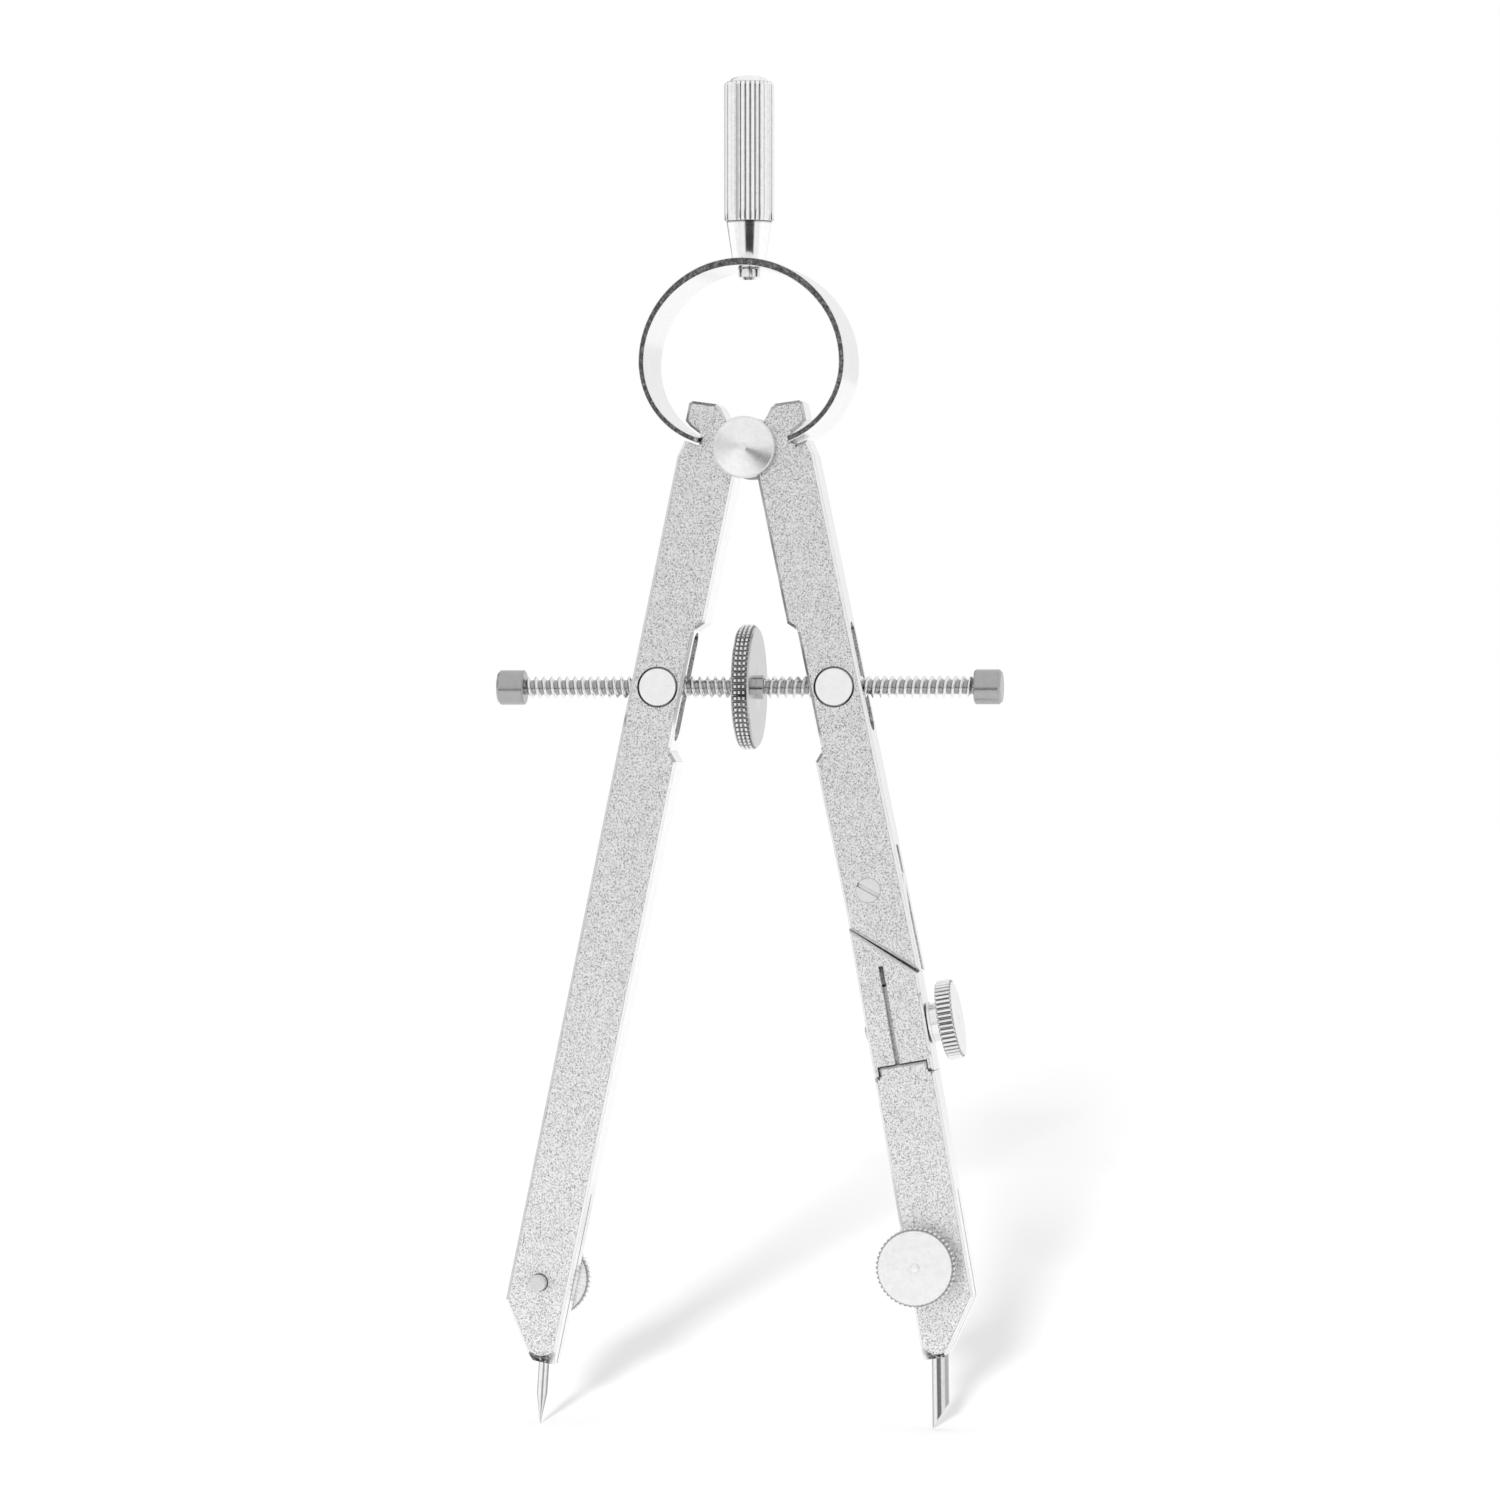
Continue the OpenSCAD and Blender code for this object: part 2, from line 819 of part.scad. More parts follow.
module needle_clamp_knob() {
    color(bright)
        left_leg_space()
            at_uv(needle_clamp_at)
                translate([0, -knob_back_y, 0])
                    rotate([90, 0, 0])
                        clamp_knob();
}

module needle_clamp_stud() {
    color(bright)
        left_leg_space()
            at_uv(needle_clamp_at)
                translate([0, -knob_back_y, 0])
                    rotate([90, 0, 0])
                        clamp_stud(-leg_t - 2.1, collar_len + 0.5*knob_t);
}

module needle() {
    color(bright)
        left_leg_space()
            at_uv(needle_exit)
                rotate([0, needle_slant, 0]) {
                    cylinder(d = needle_shank_d, h = needle_in);
                    translate([0, 0, -needle_shoulder])
                        cylinder(d1 = needle_d, d2 = needle_shank_d, h = needle_shoulder);
                    translate([0, 0, -needle_shaft])
                        cylinder(d = needle_d, h = needle_shaft);
                    translate([0, 0, -needle_shaft - needle_point])
                        cylinder(d1 = 0.06, d2 = needle_d, h = needle_point);
                }
}

handle_grip();
handle_rivet();
spring_ring();
hinge_roller();
hinge_pin();
hinge_front_flange();
hinge_rear_flange();
needle_leg();
pencil_leg();
left_swivel_nut();
right_swivel_nut();
spindle_core();
left_screw();
right_screw();
centre_wheel();
left_end_cap();
right_end_cap();
knee_screw();
socket_block();
socket_clamp_knob();
socket_clamp_stud();
lead_insert();
lead_clamp_knob();
lead_clamp_stud();
lead();
needle_clamp_knob();
needle_clamp_stud();
needle();
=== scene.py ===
import json
import math

import bpy
import numpy as np
from mathutils import Matrix, Vector


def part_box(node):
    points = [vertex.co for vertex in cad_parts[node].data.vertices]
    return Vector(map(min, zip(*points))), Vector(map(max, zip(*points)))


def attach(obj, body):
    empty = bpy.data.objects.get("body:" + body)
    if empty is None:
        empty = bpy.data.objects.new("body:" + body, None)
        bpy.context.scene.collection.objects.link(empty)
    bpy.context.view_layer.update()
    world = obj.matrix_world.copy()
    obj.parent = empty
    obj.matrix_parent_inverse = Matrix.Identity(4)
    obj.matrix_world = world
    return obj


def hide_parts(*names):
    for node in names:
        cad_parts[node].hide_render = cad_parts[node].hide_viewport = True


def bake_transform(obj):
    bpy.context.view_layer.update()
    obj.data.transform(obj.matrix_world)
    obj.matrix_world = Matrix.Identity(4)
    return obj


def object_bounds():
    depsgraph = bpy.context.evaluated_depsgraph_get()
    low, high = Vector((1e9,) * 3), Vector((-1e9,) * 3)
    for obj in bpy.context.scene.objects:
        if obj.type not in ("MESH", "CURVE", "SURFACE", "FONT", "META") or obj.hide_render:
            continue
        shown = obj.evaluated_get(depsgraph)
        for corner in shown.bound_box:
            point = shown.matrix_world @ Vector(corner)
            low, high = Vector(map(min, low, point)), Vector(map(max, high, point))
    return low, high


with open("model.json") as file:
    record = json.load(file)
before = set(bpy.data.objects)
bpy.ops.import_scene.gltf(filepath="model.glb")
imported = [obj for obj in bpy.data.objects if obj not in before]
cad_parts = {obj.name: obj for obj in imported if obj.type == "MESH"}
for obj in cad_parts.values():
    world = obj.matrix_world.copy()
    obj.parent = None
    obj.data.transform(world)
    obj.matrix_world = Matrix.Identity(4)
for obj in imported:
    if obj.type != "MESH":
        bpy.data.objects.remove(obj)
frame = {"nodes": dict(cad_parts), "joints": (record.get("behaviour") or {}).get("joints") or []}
CAD_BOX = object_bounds()
NODES = frame["nodes"]
JOINTS = {j["name"]: j for j in frame["joints"]}
MM = 0.001
TAU = 2 * math.pi
BLAST_PITS = 6400.0     # noise cells per metre in the blasted faces
FINE_GRAIN = 5200.0     # noise cells per metre in polished metal


# ---------------------------------------------------------------- materials

class Shader:
    """A node material being built: keeps the tree, the Principled shader and a few shortcuts."""

    def __init__(self, name, metallic=1.0, roughness=0.2):
        self.mat = bpy.data.materials.new(name)
        self.mat.use_nodes = True
        self.tree = self.mat.node_tree
        self.bsdf = self.tree.nodes["Principled BSDF"]
        self.bsdf.inputs["Metallic"].default_value = metallic
        self.bsdf.inputs["Roughness"].default_value = roughness
        self.coord = self.tree.nodes.new("ShaderNodeTexCoord")

    def link(self, a, b):
        self.tree.links.new(a, b)

    def node(self, kind, **settings):
        n = self.tree.nodes.new(kind)
        for key, value in settings.items():
            setattr(n, key, value)
        return n

    def stretched(self, scale):
        m = self.node("ShaderNodeMapping")
        m.inputs["Scale"].default_value = scale
        self.link(self.coord.outputs["Object"], m.inputs["Vector"])
        return m.outputs["Vector"]

    def noise(self, scale, detail=3.0, rough=0.6, vector=None):
        n = self.node("ShaderNodeTexNoise")
        n.inputs["Scale"].default_value = scale
        n.inputs["Detail"].default_value = detail
        n.inputs["Roughness"].default_value = rough
        self.link(vector or self.coord.outputs["Object"], n.inputs["Vector"])
        return n.outputs["Fac"]

    def cells(self, scale):
        n = self.node("ShaderNodeTexVoronoi")
        n.inputs["Scale"].default_value = scale
        self.link(self.coord.outputs["Object"], n.inputs["Vector"])
        return n.outputs["Color"]

    def ramp(self, source, *stops):
        n = self.node("ShaderNodeValToRGB")
        ramp = n.color_ramp
        while len(ramp.elements) < len(stops):
            ramp.elements.new(0.5)
        for element, (at, value) in zip(ramp.elements, stops):
            element.position = at
            element.color = (value, value, value, 1.0) if isinstance(value, float) else (*value, 1.0)
        self.link(source, n.inputs["Fac"])
        return n.outputs["Color"]

    def math(self, operation, a, b=None):
        n = self.node("ShaderNodeMath", operation=operation)
        for socket, value in zip(n.inputs, (a, b)):
            if value is None:
                continue
            if isinstance(value, (int, float)):
                socket.default_value = value
            else:
                self.link(value, socket)
        return n.outputs[0]

    def mix(self, factor, a, b):
        n = self.node("ShaderNodeMix", data_type="RGBA")
        self.link(factor, n.inputs["Factor"])
        for socket, value in ((n.inputs[6], a), (n.inputs[7], b)):
            if isinstance(value, tuple):
                socket.default_value = (*value, 1.0)
            else:
                self.link(value, socket)
        return n.outputs[2]

    def multiply(self, a, b):
        n = self.node("ShaderNodeMix", data_type="RGBA", blend_type="MULTIPLY")
        n.inputs["Factor"].default_value = 1.0
        self.link(a, n.inputs[6])
        self.link(b, n.inputs[7])
        return n.outputs[2]

    def bump(self, height, strength, distance, after=None):
        n = self.node("ShaderNodeBump")
        n.inputs["Strength"].default_value = strength
        n.inputs["Distance"].default_value = distance
        self.link(height, n.inputs["Height"])
        if after is not None:
            self.link(after, n.inputs["Normal"])
        return n.outputs["Normal"]

    def painted_occlusion(self, distance, deepest):
        """Paints shade into the colour of slits, holes and seams: the more hidden a spot, the darker.
        """
        n = self.node("ShaderNodeAmbientOcclusion", samples=6)
        n.inputs["Distance"].default_value = distance
        return self.ramp(n.outputs["AO"], (0.05, deepest), (0.45, 0.9), (0.7, 1.0))

    def painted_edge_shade(self, radius, shade):
        """Paints a thin line of shade into the colour along every sharp edge."""
        n = self.node("ShaderNodeBevel", samples=6)
        n.inputs["Radius"].default_value = radius
        flat = self.node("ShaderNodeNewGeometry")
        dot = self.node("ShaderNodeVectorMath", operation="DOT_PRODUCT")
        self.link(n.outputs["Normal"], dot.inputs[0])
        self.link(flat.outputs["True Normal"], dot.inputs[1])
        return self.ramp(dot.outputs["Value"], (0.97, shade), (0.998, 1.0))

    def own_normal(self):
        """The X, Y and Z outputs of the normal in the object's own axes."""
        split = self.node("ShaderNodeSeparateXYZ")
        self.link(self.coord.outputs["Normal"], split.inputs[0])
        return split.outputs

    def painted_reflections(self, bands):
        """Painted reflections: lighter and darker stripes along a round bar, fixed to it: bands is a
        list of (share of the way across it along X, brightness)."""
        share = self.math("MULTIPLY", self.math("ADD", self.own_normal()["X"], 1.0), 0.5)
        return self.ramp(share, *bands)

    def set(self, socket, source):
        self.link(source, self.bsdf.inputs[socket])


def flat_face_mask(s, axis):
    """White where the surface faces straight along one of the object's own axes, either way."""
    return s.math("GREATER_THAN", s.math("ABSOLUTE", s.own_normal()[axis]), 0.985)


def nose_reflection_mask(s):
    """White where the surface slopes downward and forward or backward, as a leg's turned nose does; a
    dark reflection is painted there.
    """
    normal = s.own_normal()
    forward = s.math("ABSOLUTE", normal["Y"])
    across = s.ramp(forward, (0.66, 0.0), (0.78, 1.0), (0.9, 1.0), (0.93, 0.0))
    return s.math("MULTIPLY", across, s.math("LESS_THAN", normal["Z"], -0.38))


def satin_nickel():
    """Finely blasted front and back faces, polished bevels and sides with faint draw lines, a painted
    dark reflection on the turned noses, and painted shade along sharp edges and in seams."""
    s = Shader("satin_nickel")
    mask = flat_face_mask(s, "Y")
    grain = s.noise(BLAST_PITS, 3.0, 0.75)
    blotch = s.noise(420.0, 3.0, 0.6)
    sparkle = s.cells(BLAST_PITS)
    shade = s.ramp(grain, (0.32, 0.06), (0.42, 0.52), (0.50, 0.92), (0.60, 1.0))
    soft = s.ramp(blotch, (0.3, 0.95), (0.7, 1.0))
    face = s.multiply(shade, soft)
    smooth = s.ramp(s.noise(900.0, 3.0, 0.6), (0.3, 0.86), (0.7, 0.93))
    plating_and_nose_reflection = s.mix(mask, smooth, face)
    # painted dark reflection on the downward-sloping turned noses
    nose_dark_reflection = s.ramp(s.noise(3600.0, 2.0, 0.7), (0.4, 0.04), (0.55, 0.2), (0.65, 0.6))
    plating_and_nose_reflection = s.mix(nose_reflection_mask(s), plating_and_nose_reflection, nose_dark_reflection)
    # painted shade along every sharp edge
    with_edge_shade = s.multiply(plating_and_nose_reflection, s.painted_edge_shade(0.00008, 0.42))
    # painted shade in slits, holes and seams
    s.set("Base Color", s.multiply(with_edge_shade, s.painted_occlusion(0.0007, 0.08)))
    rough_face = s.ramp(sparkle, (0.0, 0.34), (1.0, 0.52))
    rough_side = s.ramp(s.noise(700.0), (0.3, 0.12), (0.7, 0.2))
    s.set("Roughness", s.mix(mask, rough_side, rough_face))
    pits = s.math("MULTIPLY", grain, mask)
    drawn = s.noise(1.0, 2.0, 0.6, s.stretched((3500.0, 3500.0, 260.0)))
    low = s.bump(drawn, 0.12, 0.00001)
    s.set("Normal", s.bump(pits, 0.5, 0.00004, low))
    return s.mat


def polished(name, color=0.9, rough=0.1, lines=0.08):
    """Plain bright metal with a faint cloud and painted shade in its seams and holes."""
    s = Shader(name)
    base = s.ramp(s.noise(1300.0, 4.0, 0.65), (0.3, color * 0.94), (0.65, color))
    # painted shade in slits, holes and seams
    s.set("Base Color", s.multiply(base, s.painted_occlusion(0.0005, 0.2)))
    s.set("Roughness", s.ramp(s.noise(480.0, 3.0, 0.6), (0.3, rough), (0.7, rough + 0.08)))
    s.set("Normal", s.bump(s.noise(FINE_GRAIN, 2.0, 0.5), lines, 0.00001))
    return s.mat


def turned(name, centre, axis, color=0.88, rough=0.2, crest=None, valley=None, rings=0.12, line=0.7):
    """Plated steel with fine concentric tool marks about an axis through centre. With a crest radius,
    valley is a list of (share of that radius, brightness) that paints shade into the bottoms of teeth,
    and above one a highlight on the crests. Without one, line sets how dark the painted shade along
    sharp edges is, and seams get painted shade too."""
    s = Shader(name)
    shift = s.node("ShaderNodeVectorMath", operation="SUBTRACT")
    s.link(s.coord.outputs["Object"], shift.inputs[0])
    shift.inputs[1].default_value = centre
    along = s.node("ShaderNodeVectorMath", operation="CROSS_PRODUCT")
    s.link(shift.outputs[0], along.inputs[0])
    along.inputs[1].default_value = axis
    radius = s.node("ShaderNodeVectorMath", operation="LENGTH")
    s.link(along.outputs[0], radius.inputs[0])
    marks = s.noise(1.0, 2.0, 0.7, s.math("MULTIPLY", radius.outputs["Value"], 7000.0))
    cloud = s.noise(1500.0, 4.0, 0.7)
    base = s.ramp(cloud, (0.25, color * 0.9), (0.6, color))
    if crest:
        share = s.math("DIVIDE", radius.outputs["Value"], crest)
        # painted shade toward the bottoms of teeth, and a painted highlight on crests where the list
        # goes above one
        base = s.multiply(base, s.ramp(share, *valley))
    else:
        # painted shade along the sharp edges; line sets how dark it is
        base = s.multiply(base, s.painted_edge_shade(0.00007, line))
        # painted shade in slits, holes and seams
        base = s.multiply(base, s.painted_occlusion(0.0004, 0.25))
    s.set("Base Color", base)
    s.set("Roughness", s.ramp(marks, (0.3, rough), (0.75, rough + 0.1)))
    s.set("Normal", s.bump(marks, rings, 0.00001))
    return s.mat


def spring_steel():
    """Bright band whose narrow front and back edges are dark, with fine brush streaks."""
    s = Shader("spring_steel")
    mask = flat_face_mask(s, "Y")
    streak = s.noise(2600.0, 4.0, 0.7)
    dark = s.ramp(streak, (0.3, 0.05), (0.5, 0.13), (0.66, 0.34))
    bright = s.ramp(s.noise(500.0, 3.0), (0.3, 0.82), (0.7, 0.88))
    s.set("Base Color", s.mix(mask, bright, dark))
    s.set("Roughness", s.mix(mask, s.ramp(s.noise(350.0), (0.3, 0.12), (0.7, 0.2)),
                             s.ramp(streak, (0.3, 0.3), (0.7, 0.45))))
    s.set("Normal", s.bump(streak, 0.15, 0.00002))
    return s.mat


# painted reflections, as stripes along the lead and the needle: (share of the way across, brightness)
LEAD_REFLECTION_STRIPES = [(0.0, 0.5), (0.1, 0.5), (0.15, 0.92), (0.3, 0.92), (0.36, 0.16), (0.55, 0.2),
              (0.6, 0.8), (0.78, 0.75), (0.84, 0.42), (1.0, 0.5)]
NEEDLE_REFLECTION_STRIPES = [(0.0, 0.3), (0.12, 0.45), (0.2, 0.9), (0.45, 0.9), (0.55, 0.3), (0.64, 0.35),
                (0.7, 0.88), (0.85, 0.85), (0.92, 0.4), (1.0, 0.3)]


def needle_steel():
    """Ground steel, with painted reflections as stripes along its length."""
    s = Shader("needle_steel")
    body = s.ramp(s.noise(1300.0), (0.3, 0.9), (0.65, 1.0))
    s.set("Base Color", s.multiply(s.painted_reflections(NEEDLE_REFLECTION_STRIPES), body))
    s.set("Roughness", s.ramp(s.noise(480.0, 3.0, 0.6), (0.3, 0.08), (0.7, 0.16)))
    s.set("Normal", s.bump(s.noise(FINE_GRAIN, 2.0, 0.5), 0.05, 0.00001))
    return s.mat


def graphite():
    """Glossy drawn lead, with painted reflections as stripes along its length."""
    s = Shader("graphite", metallic=0.9)
    s.bsdf.inputs["Specular IOR Level"].default_value = 0.7
    body = s.ramp(s.noise(2600.0, 4.0, 0.7), (0.3, 0.85), (0.7, 1.0))
    s.set("Base Color", s.multiply(s.painted_reflections(LEAD_REFLECTION_STRIPES), body))
    s.set("Roughness", s.ramp(s.noise(1500.0), (0.3, 0.12), (0.7, 0.22)))
    drawn = s.noise(1.0, 2.0, 0.6, s.stretched((6000.0, 6000.0, 300.0)))
    s.set("Normal", s.bump(drawn, 0.25, 0.00002))
    return s.mat


# ---------------------------------------------------------------- mesh building

def make_object(name, verts, faces, mat, sharp=35.0):
    mesh = bpy.data.meshes.new(name)
    mesh.from_pydata([tuple(v) for v in verts], [], faces)
    mesh.validate()
    mesh.polygons.foreach_set("use_smooth", [True] * len(mesh.polygons))
    mesh.set_sharp_from_angle(angle=math.radians(sharp))
    mesh.update()
    obj = bpy.data.objects.new(name, mesh)
    bpy.context.scene.collection.objects.link(obj)
    mesh.materials.append(mat)
    return obj


def loops_to_mesh(loops, caps=(True, True)):
    """Joins equal-length closed loops of points into a tube, with a fan at each end."""
    rows, cols = loops.shape[:2]
    verts = loops.reshape(-1, 3)
    faces = []
    for i in range(rows - 1):
        a, b = i * cols, (i + 1) * cols
        for j in range(cols):
            k = (j + 1) % cols
            faces.append((a + j, a + k, b + k, b + j))
    extra = []
    for end, row, flip in ((0, 0, True), (1, rows - 1, False)):
        if not caps[end]:
            continue
        hub = len(verts) + len(extra)
        extra.append(loops[row].mean(0))
        for j in range(cols):
            p, q = row * cols + j, row * cols + (j + 1) % cols
            faces.append((hub, q, p) if flip else (hub, p, q))
    return np.vstack([verts, extra]) if extra else verts, faces


def axes_along(direction):
    """A rotation that takes +Z to the given direction."""
    return Vector(direction).normalized().to_track_quat("Z", "Y").to_matrix().to_4x4()


def lathe(name, profile, segments, place, mat, cut=None, sharp=35.0):
    """Turns a profile of (height, radius, texture weight) about +Z. cut(angle, height) gives how
    much a weight of one takes off the radius."""
    angle = np.arange(segments) / segments * TAU
    loops = []
    for height, radius, weight in profile:
        r = np.full(segments, radius)
        if cut is not None and weight:
            r = r - weight * cut(angle, height)
        loops.append(np.stack([r * np.cos(angle), r * np.sin(angle), np.full(segments, height)], 1))
    verts, faces = loops_to_mesh(np.array(loops))
    m = np.array(place)
    verts = verts @ m[:3, :3].T + m[:3, 3]
    return make_object(name, verts, faces, mat, sharp)


def spread(a, b, count):
    return [a + (b - a) * i / (count - 1) for i in range(count)]


def ridge(x, top=0.3):
    """A repeating trapezoid: 0 on the crest, 1 in the valley, one period per unit."""
    t = np.abs((x % 1.0) - 0.5) * 2.0
    return np.clip((1.0 - t - top) / (1.0 - 1.7 * top), 0.0, 1.0)


# ---------------------------------------------------------------- materials on the CAD nodes

SATIN = satin_nickel()
POLISHED = polished("polished_steel")
BRIGHT = polished("bright_nickel", 0.94, 0.07, 0.05)
THREAD = polished("thread_steel", 0.72, 0.16, 0.15)
NEEDLE = needle_steel()
SPRING = spring_steel()
GRAPHITE = graphite()


def paint(material, *names):
    """Gives CAD nodes a material in place of their own."""
    for name in names:
        mesh = NODES[name].data
        mesh.materials.clear()
        mesh.materials.append(material)


hinge = Vector(JOINTS["left_leg_open"]["pos_m"])
paint(SATIN, "needle_leg", "pencil_leg", "socket_block", "lead_insert")
paint(BRIGHT, "left_swivel_nut", "right_swivel_nut")
paint(POLISHED, "handle_rivet", "hinge_roller", "hinge_pin", "spindle_core")
paint(turned("flange_steel", hinge, (0, 1, 0), 0.93, 0.24), "hinge_front_flange", "hinge_rear_flange")
knee = Vector(JOINTS["knee_bend"]["pos_m"])
# a darker line of painted shade along the knee screw's edges
paint(turned("knee_screw_nickel", knee, (0, 1, 0), 0.9, 0.26, line=0.3), "knee_screw")
paint(THREAD, "socket_clamp_stud", "lead_clamp_stud", "needle_clamp_stud")
paint(NEEDLE, "needle")
paint(GRAPHITE, "lead")

screw_at = Vector(JOINTS["wheel_spin"]["pos_m"])
paint(turned("cap_steel", screw_at, (1, 0, 0), 0.44, 0.2), "left_end_cap", "right_end_cap")


# ---------------------------------------------------------------- handle

def build_handle():
    """A tapered neck, a fluted grip with a rounded shoulder, and a domed crown."""
    lo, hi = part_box("handle_grip")
    r = (hi.x - lo.x) / 2
    flutes, flute_depth = 30, 0.26 * MM
    neck_len, neck_r, neck_widening = 4.75 * MM, 1.95 * MM, 0.72 * MM
    crown_height, shoulder = 0.7 * MM, 0.5 * MM
    crown_shape = [(0.05, 2.28), (0.22, 2.2), (0.42, 1.95), (0.58, 1.55), (0.68, 1.0), (0.7, 0.4)]
    grip_lo = lo.z + neck_len
    grip_hi = hi.z - crown_height

    def flute(angle, height):
        t = np.abs((angle / TAU * flutes) % 1.0 - 0.5) * 2.0
        return flute_depth * np.clip((0.44 - t) / 0.3, 0.0, 1.0)

    neck = [(z, neck_r + (z - lo.z) / (grip_lo - lo.z) * neck_widening, 0.0)
            for z in spread(lo.z + 0.12 * MM, grip_lo - 0.05 * MM, 8)]
    body = [(grip_lo - 0.02 * MM, r - 0.3 * MM, 0.0), (grip_lo, r - 0.06 * MM, 1.0)]
    body += [(z, r, 1.0) for z in spread(grip_lo + 0.08 * MM, grip_hi - shoulder, 12)]
    body += [(grip_hi - shoulder + shoulder * math.sin(a),
              r - 0.9 * shoulder * (1 - math.cos(a)), 1.0 - a / 1.8) for a in spread(0.15, 1.45, 6)]
    crown = [(grip_hi + rise * MM, radius * MM, 0.0) for rise, radius in crown_shape]
    place = Matrix.Identity(4)
    grip = lathe("handle_fluted", neck + body + crown, flutes * 12, place, BRIGHT_GRIP, flute, 28)
    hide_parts("handle_grip")
    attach(grip, "head")


GRIP_R = 2.95 * MM
# painted shade in the flute bottoms and at the top of the neck under the grip
BRIGHT_GRIP = turned("grip_nickel", (0, 0, 0), (0, 0, 1), 0.98, 0.08, GRIP_R,
                     [(0.89, 1.0), (0.902, 0.2), (0.918, 0.45), (0.935, 1.0)], 0.02)
build_handle()


# ---------------------------------------------------------------- ring spring, one half per leg

def ring_path(side):
    """Centre line of one half of the ring from its top to its end: (x, z, nx, nz, thickness)."""
    lo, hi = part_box("spring_ring")
    radius = (hi.x - lo.x) / 2
    centre = hi.z - radius
    thin, thicker_at_top = 0.65 * MM, 0.30 * MM
    shift = 2.24 * MM       # how far out the lower arc's centre is, which makes its radius smaller
    points = []
    for a in spread(90.0, 0.0, 46):
        c, s = math.cos(math.radians(a)), math.sin(math.radians(a))
        t = thin + thicker_at_top * s * s
        points.append(((radius - t / 2) * c, centre + (radius - t / 2) * s, c, s, t))
    for a in spread(0.0, -70.0, 36)[1:]:
        c, s = math.cos(math.radians(a)), math.sin(math.radians(a))
        t = thin
        r = radius - shift - t / 2
        points.append((shift + r * c, centre + r * s, c, s, t))
    return [(side * x, z, side * nx, nz, t) for x, z, nx, nz, t in points]


def build_ring_half(side):
    """A flat band with eased edges that curves down from the top of the ring toward one leg."""
    lo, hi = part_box("spring_ring")
    half = (hi.y - lo.y) / 2
    edge = 0.07 * MM
    loops = []
    for x, z, nx, nz, t in ring_path(side):
        section = []
        for y_sign, n_sign in ((-1, 1), (1, 1), (1, -1), (-1, -1)):
            corner = [(half - edge, t / 2), (half, t / 2 - edge)]
            if y_sign * n_sign < 0:
                corner = corner[::-1]
            for y, n in corner:
                section.append((y_sign * y, n_sign * n))
        order = section if side > 0 else section[::-1]
        loops.append([(x + n * nx, y, z + n * nz) for y, n in order])
    verts, faces = loops_to_mesh(np.array(loops), caps=(False, True))
    name = "ring_right" if side > 0 else "ring_left"
    obj = make_object(name, verts, faces, SPRING, 40)
    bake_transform(obj)
    return obj


ring_halves = [build_ring_half(1), build_ring_half(-1)]
for piece in ring_halves:
    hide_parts("spring_ring")


# ---------------------------------------------------------------- threaded screw halves

CREST_R, ROOT_R, PITCH = 1.3 * MM, 0.85 * MM, 0.936 * MM
# painted shade: darker at the thread roots and on the plain shaft
SCREW = turned("screw_thread", screw_at, (1, 0, 0), 0.9, 0.12, CREST_R,
               [(0.0, 0.45), (0.68, 0.45), (0.8, 1.0)], 0.05)


def build_screw(side):
    """Half of the screw with a true helix; the left half is the right one mirrored."""
    name = "right_screw" if side > 0 else "left_screw"
    lo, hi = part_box(name)
    end = max(abs(lo.x), abs(hi.x))
    wheel_seat, cap_seat, steps_per_turn = 1.95 * MM, 2.5 * MM, 14
    thread_end = end - cap_seat
    steps = int((thread_end - wheel_seat) / PITCH * steps_per_turn)

    def groove(angle, height):
        turn = angle / TAU
        t = np.abs(((height / PITCH + turn) % 1.0) - 0.5) * 2.0
        grown = min(1.0, max(0.0, (thread_end - height) / (0.5 * PITCH)))
        depth = np.clip((t - 0.16) / 0.5, 0.0, 1.0)
        return (CREST_R - ROOT_R) * (1 - (1 - depth) * grown)

    profile = [(0.1 * MM, ROOT_R, 0.0), (wheel_seat, ROOT_R, 0.0)]
    profile += [(z, CREST_R, 1.0) for z in spread(wheel_seat + 0.01 * MM, thread_end, steps)]
    profile += [(thread_end + 0.05 * MM, ROOT_R, 0.0), (end, ROOT_R, 0.0)]
    mirror = Matrix.Diagonal((side, 1, 1, 1))
    place = Matrix.Translation(screw_at) @ mirror @ axes_along((1, 0, 0))
    obj = lathe(name + "_thread", profile, 40, place, SCREW, groove, 50)
    if side < 0:
        obj.data.flip_normals()
    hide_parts(name)
    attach(obj, "adjusting_screw")


build_screw(1)
build_screw(-1)


# ---------------------------------------------------------------- knurled wheel and knobs

